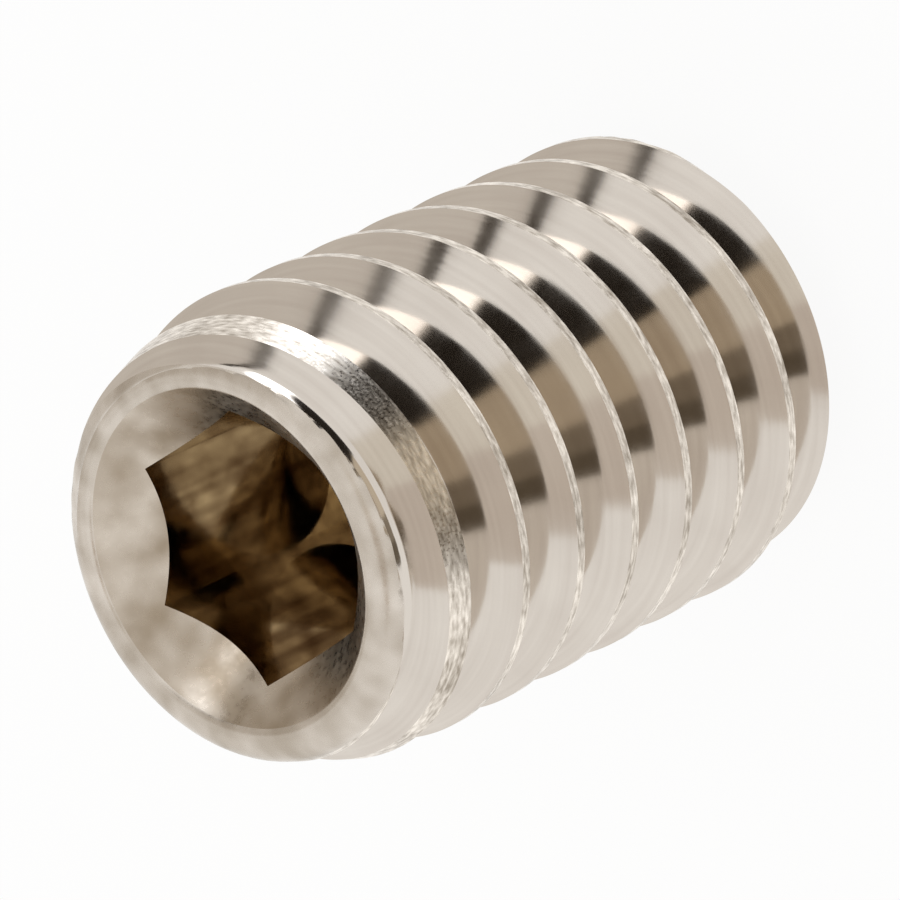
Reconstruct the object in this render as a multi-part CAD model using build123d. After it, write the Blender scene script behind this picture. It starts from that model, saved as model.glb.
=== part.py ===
from build123d import *
from math import ceil, cos, radians, sin, tan
import os

# A hexagon socket set screw with a flat point, M4 x 0.7 x 6, turned and rolled in
# one piece. It stands on its point: the origin is the centre of the point's flat
# face, and +Z runs up the axis to the socket. Millimetres and degrees.

# body
nominal_diameter = 4.0
length = 6.0

# right-hand thread of 60 degrees
pitch = 0.7
thread_angle = 60.0
crest_allowance = 0.02  # the crests lie this far inside the nominal radius
crest_flat = pitch / 8  # width of the land on each crest, as the metric form has it
root_radius = pitch / 7  # the groove's rounded bottom
thread_start_angle = 176.5  # from +X round to where the groove crosses the plane of the point's face

# flat point
point_diameter = 2.5
point_chamfer_angle = 50.0  # from the axis
point_rounding = 0.05

# rim around the socket: the first crests are not filled, so the outline tapers in to it
rim_drop = 0.29  # the rim's edge lies this far inside the crests
rim_taper_angle = 17.3  # from the axis
rim_width = 0.25
rim_outer_rounding = 0.22
rim_inner_rounding = 0.08

# socket
across_flats = 2.0
socket_depth = 2.5
countersink_angle = 90.0
drill_tip_angle = 120.0
drill_inset = 0.04  # the drilled cone starts this far inside the flats

# how the cutting tools run
cut_margin = 0.1  # past the surface that a tool opens
cut_turns = 1.5  # the groove is cut in lengths of this many turns, one after another

crest_radius = nominal_diameter / 2 - crest_allowance
half_angle = radians(thread_angle / 2)
groove_half_width = (pitch - crest_flat) / 2
groove_depth = groove_half_width / tan(half_angle) - root_radius * (1 / sin(half_angle) - 1)

rim_outer_radius = crest_radius - rim_drop
rim_inner_radius = rim_outer_radius - rim_width
rim_taper_height = rim_drop / tan(radians(rim_taper_angle))
point_chamfer_height = (crest_radius - point_diameter / 2) / tan(radians(point_chamfer_angle))
countersink_depth = rim_inner_radius / tan(radians(countersink_angle / 2))


def turned_blank():
    """The turned outline spun about Z: point, shank, rim and the countersink down to its apex."""
    corners = [
        (0, 0),
        (point_diameter / 2, 0),
        (crest_radius, point_chamfer_height),
        (crest_radius, length - rim_taper_height),
        (rim_outer_radius, length),
        (rim_inner_radius, length),
        (0, length - countersink_depth),
    ]
    roundings = [0, point_rounding, 0, 0, rim_outer_rounding, rim_inner_rounding, 0]
    outline = FilletPolyline(*corners, radius=roundings, close=True)
    return revolve(Plane.XZ * make_face(outline), Axis.Z)


def socket():
    """The broached hexagon, a corner on +Y, with the drilled cone under it."""
    hexagon = RegularPolygon(across_flats / 2, 6, major_radius=False, rotation=30)
    floor = length - socket_depth
    prism = extrude(Pos(0, 0, floor) * hexagon, socket_depth + cut_margin)
    drill_radius = across_flats / 2 - drill_inset
    tip_height = drill_radius / tan(radians(drill_tip_angle / 2))
    drill_tip = Pos(0, 0, floor - tip_height / 2) * Cone(0, drill_radius, tip_height)
    return prism + drill_tip


def groove_cutter():
    """One length of the rounded V, swept up its helix from the plane of the point's face."""
    flank_end = root_radius * cos(half_angle)
    flank_depth = groove_depth - root_radius * (1 - sin(half_angle))
    bottom = crest_radius - groove_depth
    flank_radius = crest_radius - flank_depth
    outside = crest_radius + cut_margin
    section = Polyline(
        (flank_radius, -flank_end),
        (crest_radius, -groove_half_width),
        (outside, -groove_half_width),
        (outside, groove_half_width),
        (crest_radius, groove_half_width),
        (flank_radius, flank_end),
    ) + ThreePointArc((flank_radius, flank_end), (bottom, 0), (flank_radius, -flank_end))
    path = Helix(pitch, cut_turns * pitch, crest_radius)
    return sweep(Plane.XZ * make_face(section), path=path, is_frenet=True)


def thread(body):
    """Cuts the groove into the body, from a turn below the point to a turn above the rim."""
    cutter = groove_cutter()
    for n in range(ceil((length / pitch + 2) / cut_turns)):
        turns = n * cut_turns - 1
        place = Rot(0, 0, thread_start_angle + 360 * turns) * Pos(0, 0, pitch * turns)
        body -= place * cutter
    return body


set_screw = thread(turned_blank() - socket())
set_screw.label = "set_screw"

os.makedirs("parts", exist_ok=True)
export_step(set_screw, "parts/set_screw.step")
print("volume", set_screw.volume, "box", set_screw.bounding_box())
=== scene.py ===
import math

import bmesh
import bpy
import numpy as np
from mathutils import Matrix


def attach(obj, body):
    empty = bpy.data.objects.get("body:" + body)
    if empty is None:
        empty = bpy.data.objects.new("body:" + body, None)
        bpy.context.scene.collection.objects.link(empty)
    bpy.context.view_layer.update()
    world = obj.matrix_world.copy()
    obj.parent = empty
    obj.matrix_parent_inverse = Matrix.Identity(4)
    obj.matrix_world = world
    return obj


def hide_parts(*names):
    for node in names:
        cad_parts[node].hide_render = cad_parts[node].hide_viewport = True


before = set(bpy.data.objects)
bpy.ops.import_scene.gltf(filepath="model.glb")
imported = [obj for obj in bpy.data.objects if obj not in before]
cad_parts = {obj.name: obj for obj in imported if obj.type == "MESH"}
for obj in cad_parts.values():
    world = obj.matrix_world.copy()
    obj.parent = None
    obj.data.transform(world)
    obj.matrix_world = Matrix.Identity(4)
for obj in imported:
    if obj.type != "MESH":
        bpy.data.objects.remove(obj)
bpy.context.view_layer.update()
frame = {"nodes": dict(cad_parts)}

print("frame loaded, CAD nodes:", ", ".join(frame["nodes"]))

mm = 0.001


def tan(degrees):
    return math.tan(math.radians(degrees))


def linearColour(hexCode):
    # an sRGB hex value as the linear colour that sockets take
    parts = [int(hexCode[i:i + 2], 16) / 255 for i in (1, 3, 5)]
    return [c / 12.92 if c <= 0.04045 else ((c + 0.055) / 1.055) ** 2.4 for c in parts] + [1.0]


def addNode(tree, kind, settings=None, values=None, links=None):
    # settings are the node's own properties, values fill sockets and links feed them
    node = tree.nodes.new(kind)
    for name, value in (settings or {}).items():
        setattr(node, name, value)
    for socket, value in (values or {}).items():
        node.inputs[socket].default_value = value
    for socket, source in (links or {}).items():
        tree.links.new(source, node.inputs[socket])
    return node


def fillRamp(node, stops):
    # stops are (position, hex colour), in rising order
    elements = node.color_ramp.elements
    elements[0].position, elements[0].color = stops[0][0], linearColour(stops[0][1])
    elements[1].position, elements[1].color = stops[-1][0], linearColour(stops[-1][1])
    for position, colour in stops[1:-1]:
        elements.new(position).color = linearColour(colour)


# sizes of the screw in millimetres and degrees
screw = {
    "length": 6.0,
    "crestRadius": 1.98,
    "pitch": 0.7,
    "halfAngle": 30.0,          # of the thread's V
    "crestFlat": 0.0875,
    "rootRadius": 0.1,
    "threadStart": 176.5,       # from +X round to where the groove crosses the plane of the point
    "pointRadius": 1.25,
    "pointChamferAngle": 50.0,  # from the axis
    "pointRounding": 0.05,
    "rimDrop": 0.29,            # from the crests in to the rim's edge
    "rimTaperAngle": 17.3,      # from the axis
    "rimWidth": 0.25,
    "rimOuterRounding": 0.22,
    "rimInnerRounding": 0.08,
    "countersinkAngle": 90.0,
    "acrossFlats": 2.0,
    "socketDepth": 2.5,
    "drillInset": 0.04,
    "drillTipAngle": 120.0,
}

# how finely the surface is divided; the columns are a multiple of six, so that one meets each corner
grid = {
    "columns": 240,
    "landRows": 4, "flankRows": 6, "rootRows": 10,
    "roundingRows": 10, "faceRows": 4, "pointRows": 12,
    "sinkRows": 12, "wallRows": 24, "coneRows": 14,
    "mergeGap": 0.00005,        # mm, points nearer than this become one
    "sharpAngle": 25.0,         # degrees, edges that turn more than this stay crisp
}

s, g = screw, grid
slope = 1 / tan(s["halfAngle"])  # a flank's rise away from the axis over its run along it
halfWidth = (s["pitch"] - s["crestFlat"]) / 2
grooveDepth = halfWidth * slope - s["rootRadius"] * (1 / math.sin(math.radians(s["halfAngle"])) - 1)
grooveBottom = s["crestRadius"] - grooveDepth
arcHalf = s["rootRadius"] * math.cos(math.radians(s["halfAngle"]))
taperStart = s["length"] - s["rimDrop"] / tan(s["rimTaperAngle"])
chamferEnd = (s["crestRadius"] - s["pointRadius"]) / tan(s["pointChamferAngle"])
rimOuter = s["crestRadius"] - s["rimDrop"]
rimInner = rimOuter - s["rimWidth"]
sinkHalf = s["countersinkAngle"] / 2
startTurn = s["threadStart"] / 360


def turnedRadius(z):
    # the turned outline: a cylinder at the crests, narrowed by the rim's taper and the point's chamfer
    taper = s["crestRadius"] - (z - taperStart) * tan(s["rimTaperAngle"])
    chamfer = s["crestRadius"] - (chamferEnd - z) * tan(s["pointChamferAngle"])
    return np.minimum(np.minimum(taper, chamfer), s["crestRadius"])


def grooveRadius(z, turn):
    # the groove at height z and angle turn (1 is once round), by its distance w from the groove's
    # middle: a circular bottom, then flanks that rise by slope times w
    w = np.abs((z / s["pitch"] - (turn - startTurn) + 0.5) % 1.0 - 0.5) * s["pitch"]
    flank = s["crestRadius"] - (halfWidth - w) * slope
    arc = grooveBottom + s["rootRadius"] - np.sqrt(np.maximum(s["rootRadius"] ** 2 - w ** 2, 0))
    return np.where(w < arcHalf, arc, flank)


def landEdges(middle):
    # the heights between which a land lies, given the height of its middle: where the line of each
    # flank meets the line of the turned outline
    low, high = middle - s["crestFlat"] / 2, middle + s["crestFlat"] / 2
    taper, chamfer = tan(s["rimTaperAngle"]), tan(s["pointChamferAngle"])
    lowCut = np.where(low > taperStart, (slope * low + taper * taperStart) / (slope + taper), low)
    lowCut = np.where(low < chamferEnd, (slope * low - chamfer * chamferEnd) / (slope - chamfer), lowCut)
    highCut = np.where(high > taperStart, (slope * high - taper * taperStart) / (slope - taper), high)
    highCut = np.where(high < chamferEnd, (slope * high + chamfer * chamferEnd) / (slope + chamfer), highCut)
    reach = s["pitch"] / 2 - arcHalf
    return np.maximum(lowCut, middle - reach), np.minimum(highCut, middle + reach)


def threadRows(turn, zLow, zHigh):
    # rows that climb with the thread: over each land, down a flank, round the bottom and up the next
    # flank, each height held between zLow and zHigh
    rows = []
    swing = math.radians(180 - 2 * s["halfAngle"])
    for n in range(math.floor(zLow / s["pitch"]) - 2, math.ceil(zHigh / s["pitch"]) + 2):
        middle = s["pitch"] * (turn - startTurn + n + 0.5)
        low, high = landEdges(middle)
        nextLow = landEdges(middle + s["pitch"])[0]
        groove = middle + s["pitch"] / 2
        stretches = [
            ("land", g["landRows"], lambda k: low + (high - low) * k),
            ("upperFlank", g["flankRows"], lambda k: high + (groove - arcHalf - high) * k),
            ("root", g["rootRows"], lambda k: groove + s["rootRadius"] * np.sin(swing * (k - 0.5))),
            ("lowerFlank", g["flankRows"], lambda k: groove + arcHalf + (nextLow - groove - arcHalf) * k),
        ]
        for zone, count, height in stretches:
            for i in range(count):
                z = np.clip(height(i / count), zLow, zHigh)
                r = np.minimum(turnedRadius(z), grooveRadius(z, turn))
                # along the thread and across it, both in millimetres
                along = 2 * math.pi * s["crestRadius"] * (turn + n)
                rows.append((zone, r, z, along, height(i / count) - middle))
    return rows


def arcPoints(centre, radius, fromAngle, toAngle, count):
    # points on a circle in the (radius, height) plane, both ends included
    a = np.radians(np.linspace(fromAngle, toAngle, count + 1))
    return centre[0] + radius * np.cos(a), centre[1] + radius * np.sin(a)


def hexagonRadius(turn):
    # distance to the hexagon's wall: half across flats over the cosine of the angle from the flat's middle;
    # one flat faces +X
    fromFlat = (turn * 360 + 30) % 60 - 30
    return s["acrossFlats"] / 2 / np.cos(np.radians(fromFlat))


def screwRows():
    # the whole skin from the middle of the point, up the thread, over the rim and down the socket
    turn = np.linspace(0, 1, g["columns"] + 1)
    ones = np.ones_like(turn)
    around = 2 * math.pi * s["crestRadius"] * turn
    rows = []

    def addRing(zone, r, z):
        rows.append((zone, r * ones, z * ones, around, z * ones - r * ones))

    # the point: a flat face, then a small rounding into the chamfer
    pointTurn = 90 - s["pointChamferAngle"]
    pointFlat = s["pointRadius"] - s["pointRounding"] * tan(pointTurn / 2)
    for r in np.linspace(0, pointFlat, g["pointRows"], endpoint=False):
        addRing("point", r, 0)
    pointCentre = (pointFlat, s["pointRounding"])
    rs, zs = arcPoints(pointCentre, s["pointRounding"], -90, pointTurn - 90, g["faceRows"])
    for r, z in zip(rs[:-1], zs[:-1]):
        addRing("point", r, z)

    rimTurn = 90 - s["rimTaperAngle"]
    rimFlat = rimOuter - s["rimOuterRounding"] * tan(rimTurn / 2)
    rimCentre = (rimFlat, s["length"] - s["rimOuterRounding"])
    rimRs, rimZs = arcPoints(rimCentre, s["rimOuterRounding"], s["rimTaperAngle"], 90, g["roundingRows"])
    rows.extend(threadRows(turn, zs[-1], rimZs[0]))

    # the rim: its outer rounding, cut where the thread runs out through it, its face and inner rounding
    for r, z in zip(rimRs, rimZs):
        addRing("rim", np.minimum(r, grooveRadius(z, turn)), z)
    innerFlat = rimInner + s["rimInnerRounding"] * tan(sinkHalf / 2)
    outerEdge = rows[-1][1]
    for k in np.linspace(0, 1, g["faceRows"] + 1)[1:-1]:
        addRing("rim", outerEdge + (innerFlat - outerEdge) * k, s["length"])
    innerCentre = (innerFlat, s["length"] - s["rimInnerRounding"])
    rs, zs = arcPoints(innerCentre, s["rimInnerRounding"], 90, 90 + sinkHalf, g["roundingRows"] // 2)
    for r, z in zip(rs[:-1], zs[:-1]):
        addRing("rim", r, z)

    # the countersink down to the hexagon, the walls, the floor and the drilled cone
    wall = hexagonRadius(turn)
    mouth = s["length"] - (rimInner - wall) / tan(sinkHalf)
    for k in np.linspace(0, 1, g["sinkRows"], endpoint=False):
        addRing("countersink", rs[-1] + (wall - rs[-1]) * k, zs[-1] + (mouth - zs[-1]) * k)
    floor = s["length"] - s["socketDepth"]
    for k in np.linspace(0, 1, g["wallRows"], endpoint=False):
        addRing("socket", wall, mouth + (floor - mouth) * k)
    drillRadius = s["acrossFlats"] / 2 - s["drillInset"]
    for k in np.linspace(0, 1, g["faceRows"], endpoint=False):
        addRing("drill", wall + (drillRadius - wall) * k, floor)
    for k in np.linspace(0, 1, g["coneRows"]):
        addRing("drill", drillRadius * (1 - k), floor - drillRadius * k / tan(s["drillTipAngle"] / 2))
    return turn, rows


finishOf = {
    "land": "rolledCrest", "upperFlank": "rolledFlank", "lowerFlank": "rolledFlank", "root": "rolledFlank",
    "point": "turnedPoint", "rim": "tumbledRim", "countersink": "satinCountersink",
    "socket": "broachedSocket", "drill": "broachedSocket",
}
finishOrder = sorted(set(finishOf.values()))


def buildScrew():
    # every row and column becomes one vertex; four neighbours become a face, and what coincides is merged
    turn, rows = screwRows()
    zones = [row[0] for row in rows]
    r, z, along, across = (np.stack([row[i] for row in rows]) for i in (1, 2, 3, 4))
    angle = 2 * math.pi * turn[None, :]
    points = np.stack([r * np.cos(angle), r * np.sin(angle), z], axis=-1)
    # the last column lies in the plane of the first, so that the skin closes all round
    points[:, -1, :2] = points[:, 0, :2] * (r[:, -1:] / np.maximum(r[:, :1], 1e-12))
    rowCount, columnCount = r.shape
    index = np.arange(rowCount * columnCount).reshape(rowCount, columnCount)
    corners = [index[:-1, :-1], index[:-1, 1:], index[1:, 1:], index[1:, :-1]]
    quads = np.stack(corners, axis=-1).reshape(-1, 4)
    material = np.repeat([finishOrder.index(finishOf[zone]) for zone in zones[:-1]], columnCount - 1)

    mesh = bpy.data.meshes.new("setScrew")
    mesh.vertices.add(points.size // 3)
    mesh.vertices.foreach_set("co", (points * mm).astype(np.float32).ravel())
    mesh.loops.add(quads.size)
    mesh.loops.foreach_set("vertex_index", quads.ravel().astype(np.int32))
    mesh.polygons.add(len(quads))
    mesh.polygons.foreach_set("loop_start", np.arange(0, quads.size, 4, dtype=np.int32))
    mesh.update(calc_edges=True)
    mesh.polygons.foreach_set("material_index", material.astype(np.int32))
    surface = mesh.uv_layers.new(name="alongThread")
    uv = np.stack([along.ravel()[quads], across.ravel()[quads]], axis=-1)
    surface.data.foreach_set("uv", uv.astype(np.float32).ravel())

    shape = bmesh.new()
    shape.from_mesh(mesh)
    bmesh.ops.remove_doubles(shape, verts=shape.verts, dist=g["mergeGap"] * mm)
    shape.to_mesh(mesh)
    shape.free()
    mesh.shade_smooth()
    mesh.set_sharp_from_angle(angle=math.radians(g["sharpAngle"]))

    piece = bpy.data.objects.new("set_screw_body", mesh)
    bpy.context.scene.collection.objects.link(piece)
    print("screw:", len(mesh.vertices), "vertices,", len(mesh.polygons), "faces")
    return piece


# stainless steel, by how each surface was made; lines are the length and the width of a streak, grain is
# the size of a speck and the heights are their relief, in millimetres, all drawn some times coarser than
# the real ones, which are too fine to show
finishes = {
    # thread rolling burnishes the flanks: near mirrors, with faint lines along the thread
    "rolledFlank": {
        "colours": ("#CFC6BC", "#D9D1C7"), "roughness": (0.09, 0.14), "coordinates": "UV",
        "lines": (1.6, 0.03), "lineHeight": 0.0003, "grain": 0.3, "grainHeight": 0.0,
    },
    # the metal never quite fills the die at a crest: a matt, grainy land
    "rolledCrest": {
        "colours": ("#A69B8D", "#FFF6EA"), "roughness": (0.22, 0.46), "coordinates": "UV",
        "lines": (0.12, 0.03), "lineHeight": 0.0007, "grain": 0.026, "grainHeight": 0.0003,
    },
    # tumbling rounds the rim and leaves fine dents in its shine
    "tumbledRim": {
        "colours": ("#B5AA9C", "#D8CFC4"), "roughness": (0.2, 0.34), "coordinates": "Object",
        "lines": (0.3, 0.3), "lineHeight": 0.0, "grain": 0.06, "grainHeight": 0.001,
    },
    # the countersink is pressed before the socket: satin, mottled where lubricant was trapped
    "satinCountersink": {
        "colours": ("#9F907D", "#CFC4B6"), "roughness": (0.24, 0.36), "coordinates": "Object",
        "lines": (0.35, 0.35), "lineHeight": 0.0, "grain": 0.06, "grainHeight": 0.0,
    },
    # the broach drags down the walls: long scores. The colour is a darker brown, with lighter tan and cream
    # patches that are painted reflections of the socket's mouth
    "broachedSocket": {
        # the lighter of these colours paints the mouth's reflections as patches on the walls
        "colours": ("#85715A", "#D2C3A8"), "roughness": (0.05, 0.11), "coordinates": "Object",
        "lines": (2.8, 0.12), "lineHeight": 0.0004, "grain": 0.12, "grainHeight": 0.0,
    },
    # the point is faced on a lathe, an even satin
    "turnedPoint": {
        "colours": ("#C6BCAF", "#D8D0C5"), "roughness": (0.2, 0.32), "coordinates": "Object",
        "lines": (0.3, 0.3), "lineHeight": 0.0, "grain": 0.05, "grainHeight": 0.002,
    },
}


# the patterns that the finishes share
patterns = {
    "lineDetail": 1.0,
    "cloudScale": 1.3,          # for each millimetre
    "cloudDetail": 3.0,
    "grainDetail": 2.0,
    "lineShare": 0.5,           # of the lines in the colour, the rest is clouds
    "colourSpan": (0.36, 0.64),  # the noise values between which the two colours change over
    "roughSpan": (0.3, 0.7),    # and the two roughnesses
}


def makeFinish(name, look):
    material = bpy.data.materials.new(name)
    material.use_nodes = True
    tree = material.node_tree
    shader = tree.nodes["Principled BSDF"]
    shader.inputs["Metallic"].default_value = 1.0
    coordinates = addNode(tree, "ShaderNodeTexCoord")
    onThread = look["coordinates"] == "UV"
    # one unit of the pattern space is a millimetre: the map is in them already, the object is in metres
    unit = 1.0 if onThread else 1 / mm
    place = coordinates.outputs[look["coordinates"]]
    long, short = look["lines"]
    stretch = (1 / long, 1 / short, 1.0) if onThread else (1 / short, 1 / short, 1 / long)
    lined = addNode(tree, "ShaderNodeMapping", values={"Scale": [unit * k for k in stretch]},
                    links={"Vector": place})
    plain = addNode(tree, "ShaderNodeMapping", values={"Scale": (unit,) * 3}, links={"Vector": place})
    lines = addNode(tree, "ShaderNodeTexNoise", values={"Scale": 1.0, "Detail": patterns["lineDetail"]},
                    links={"Vector": lined.outputs["Vector"]})
    clouds = addNode(tree, "ShaderNodeTexNoise", values={
        "Scale": patterns["cloudScale"], "Detail": patterns["cloudDetail"],
    }, links={"Vector": plain.outputs["Vector"]})
    grains = addNode(tree, "ShaderNodeTexNoise", values={
        "Scale": 1 / look["grain"], "Detail": patterns["grainDetail"],
    }, links={"Vector": plain.outputs["Vector"]})
    blend = addNode(tree, "ShaderNodeMix", {"data_type": "FLOAT"}, {"Factor": 1 - patterns["lineShare"]},
                    {"A": lines.outputs["Fac"], "B": clouds.outputs["Fac"]})
    tone = addNode(tree, "ShaderNodeValToRGB", links={"Fac": blend.outputs["Result"]})
    fillRamp(tone, list(zip(patterns["colourSpan"], look["colours"])))
    tree.links.new(tone.outputs["Color"], shader.inputs["Base Color"])
    rough = addNode(tree, "ShaderNodeMapRange", values={
        "From Min": patterns["roughSpan"][0], "From Max": patterns["roughSpan"][1],
        "To Min": look["roughness"][0], "To Max": look["roughness"][1],
    }, links={"Value": grains.outputs["Fac"]})
    tree.links.new(rough.outputs["Result"], shader.inputs["Roughness"])
    relief = None
    for height, noise in ((look["lineHeight"], lines), (look["grainHeight"], grains)):
        if height:
            bump = addNode(tree, "ShaderNodeBump", values={"Strength": 1.0, "Distance": height * mm},
                           links={"Height": noise.outputs["Fac"]})
            if relief:
                tree.links.new(relief.outputs["Normal"], bump.inputs["Normal"])
            relief = bump
    if relief:
        tree.links.new(relief.outputs["Normal"], shader.inputs["Normal"])
    return material


screwPiece = buildScrew()
for name in finishOrder:
    screwPiece.data.materials.append(makeFinish(name, finishes[name]))
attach(screwPiece, "root")
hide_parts("set_screw")
print("finishes:", ", ".join(finishOrder))

# the studio: a white floor inside a light tent, and cards round the screw that show only in its shine
studio = {
    "floorHalf": 400.0,          # mm
    "floorColour": "#F6F5F3",
    "floorRoughness": 0.9,
    "floorGlow": 0.9,            # share of the floor that the camera sees as pure white
    "viewSide": -96.04,          # azimuths below are counted from here, which is itself round from +X
    "cardRadius": 90.0,          # mm
    "cardMiddle": 3.0,           # mm, the height that the elevations are taken from
    "cardColumns": 13, "cardRows": 9,
    # azimuths, elevations, colour, strength
    "cards": (
        ((16.5, 58.0), (-34.0, 26.0), "#2B2723", 1.0),
        ((-16.0, 16.5), (-34.0, 14.0), "#D8CDBB", 1.0),
        ((-30.0, -16.0), (-34.0, 14.0), "#92887A", 1.0),
        ((-43.0, -30.0), (-34.0, 18.0), "#6C6356", 1.0),
        ((60.0, 85.0), (-25.0, 36.0), "#F2F7FF", 3.2),
        ((94.5, 100.5), (22.0, 66.0), "#453E37", 1.0),
        ((-88.0, -26.0), (56.0, 82.0), "#D6CDC4", 1.0),
        ((-26.0, 28.0), (66.0, 84.0), "#E9E4DB", 1.0),
    ),
    # the tent is bright all round but for one side
    "tentBright": "#FFFFFF",
    "tentDim": "#DDD8D2",
    "dimSide": (135.0, 30.0),    # azimuth, elevation
    "dimSpan": (0.79, 0.87),     # cosines of the angle to the dim side between which the tent turns dim
}


def addStage(name, points, faces, material):
    mesh = bpy.data.meshes.new(name)
    mesh.from_pydata([tuple(p) for p in np.asarray(points) * mm], [], faces)
    mesh.materials.append(material)
    thing = bpy.data.objects.new(name, mesh)
    bpy.context.scene.collection.objects.link(thing)
    return thing


def glowing(name, colour, strength):
    material = bpy.data.materials.new(name)
    material.use_nodes = True
    tree = material.node_tree
    tree.nodes.clear()
    glow = addNode(tree, "ShaderNodeEmission", values={"Color": linearColour(colour), "Strength": strength})
    addNode(tree, "ShaderNodeOutputMaterial", links={"Surface": glow.outputs["Emission"]})
    return material


def addFloor(v):
    material = bpy.data.materials.new("whiteFloor")
    material.use_nodes = True
    tree = material.node_tree
    paper = tree.nodes["Principled BSDF"]
    paper.inputs["Base Color"].default_value = linearColour(v["floorColour"])
    paper.inputs["Roughness"].default_value = v["floorRoughness"]
    glow = addNode(tree, "ShaderNodeEmission", values={"Color": (1, 1, 1, 1), "Strength": 1.0})
    path = addNode(tree, "ShaderNodeLightPath")
    seen = addNode(tree, "ShaderNodeMath", {"operation": "MAXIMUM"},
                   links={0: path.outputs["Is Camera Ray"], 1: path.outputs["Is Glossy Ray"]})
    share = addNode(tree, "ShaderNodeMath", {"operation": "MULTIPLY"}, {1: v["floorGlow"]},
                    {0: seen.outputs["Value"]})
    mix = addNode(tree, "ShaderNodeMixShader", links={
        0: share.outputs["Value"], 1: paper.outputs["BSDF"], 2: glow.outputs["Emission"],
    })
    tree.links.new(mix.outputs["Shader"], tree.nodes["Material Output"].inputs["Surface"])
    h = v["floorHalf"]
    floor = addStage("floor", [(-h, -h, 0), (h, -h, 0), (h, h, 0), (-h, h, 0)], [(0, 1, 2, 3)], material)
    floor.visible_glossy = False  # the shine shows the tent and the cards down there instead


def addCards(v):
    # each card is a patch of a sphere round the screw, which only glossy rays meet
    columns, rows = v["cardColumns"], v["cardRows"]
    for i, (azimuths, elevations, colour, strength) in enumerate(v["cards"]):
        azimuth, elevation = np.meshgrid(np.radians(v["viewSide"] + np.linspace(*azimuths, columns)),
                                         np.radians(np.linspace(*elevations, rows)))
        points = np.stack([np.cos(azimuth) * np.cos(elevation), np.sin(azimuth) * np.cos(elevation),
                           np.sin(elevation)], axis=-1).reshape(-1, 3) * v["cardRadius"]
        points[:, 2] += v["cardMiddle"]
        corner = (np.arange(rows - 1)[:, None] * columns + np.arange(columns - 1)[None, :]).ravel()
        faces = np.stack([corner, corner + 1, corner + columns + 1, corner + columns], axis=-1)
        card = addStage(f"card{i + 1}", points, faces.tolist(), glowing(f"card{i + 1}", colour, strength))
        card.visible_camera = card.visible_diffuse = card.visible_shadow = False


def addTent(v):
    # the tent's colour goes from bright to dim by the cosine of the angle to its dim side
    world = bpy.data.worlds.new("lightTent")
    bpy.context.scene.world = world
    world.use_nodes = True
    tree = world.node_tree
    azimuth, elevation = math.radians(v["viewSide"] + v["dimSide"][0]), math.radians(v["dimSide"][1])
    towards = (math.cos(azimuth) * math.cos(elevation), math.sin(azimuth) * math.cos(elevation),
               math.sin(elevation))
    coordinates = addNode(tree, "ShaderNodeTexCoord")
    cosine = addNode(tree, "ShaderNodeVectorMath", {"operation": "DOT_PRODUCT"}, {1: towards},
                     {0: coordinates.outputs["Generated"]})
    tone = addNode(tree, "ShaderNodeValToRGB", links={"Fac": cosine.outputs["Value"]})
    fillRamp(tone, list(zip(v["dimSpan"], (v["tentBright"], v["tentDim"]))))
    tree.links.new(tone.outputs["Color"], tree.nodes["Background"].inputs["Color"])


addFloor(studio)
addCards(studio)
addTent(studio)

# the camera: where it looks, from which side, how it is rolled, and its lens
cameraView = {
    "target": (0.0301, -0.0032, 3.1551),   # mm
    "distance": 64.697,                    # mm
    "azimuth": -6.0385,                    # 0 looks along +Y
    "elevation": 45.8224,
    "roll": -115.2305,
    "lens": 316.797,
    "sensor": 36.0,
    "nearest": 3.0,                        # mm, what lies closer or farther isn't drawn
    "farthest": 2000.0,                    # mm
}


def addCamera(v):
    azimuth, elevation, roll = (math.radians(v[name]) for name in ("azimuth", "elevation", "roll"))
    back = np.array([math.sin(azimuth) * math.cos(elevation), -math.cos(azimuth) * math.cos(elevation),
                     math.sin(elevation)])
    right = np.array([math.cos(azimuth), math.sin(azimuth), 0.0])
    up = np.cross(back, right)
    rolledRight = right * math.cos(roll) + up * math.sin(roll)
    rolledUp = np.cross(back, rolledRight)
    place = (np.array(v["target"]) + back * v["distance"]) * mm
    data = bpy.data.cameras.new("camera")
    data.lens, data.sensor_width = v["lens"], v["sensor"]
    data.clip_start, data.clip_end = v["nearest"] * mm, v["farthest"] * mm
    camera = bpy.data.objects.new("camera", data)
    bpy.context.scene.collection.objects.link(camera)
    matrix = np.eye(4)
    matrix[:3, 0], matrix[:3, 1], matrix[:3, 2], matrix[:3, 3] = rolledRight, rolledUp, back, place
    camera.matrix_world = Matrix(matrix.tolist())
    bpy.context.scene.camera = camera


addCamera(cameraView)
bpy.context.scene.view_settings.view_transform = "Standard"
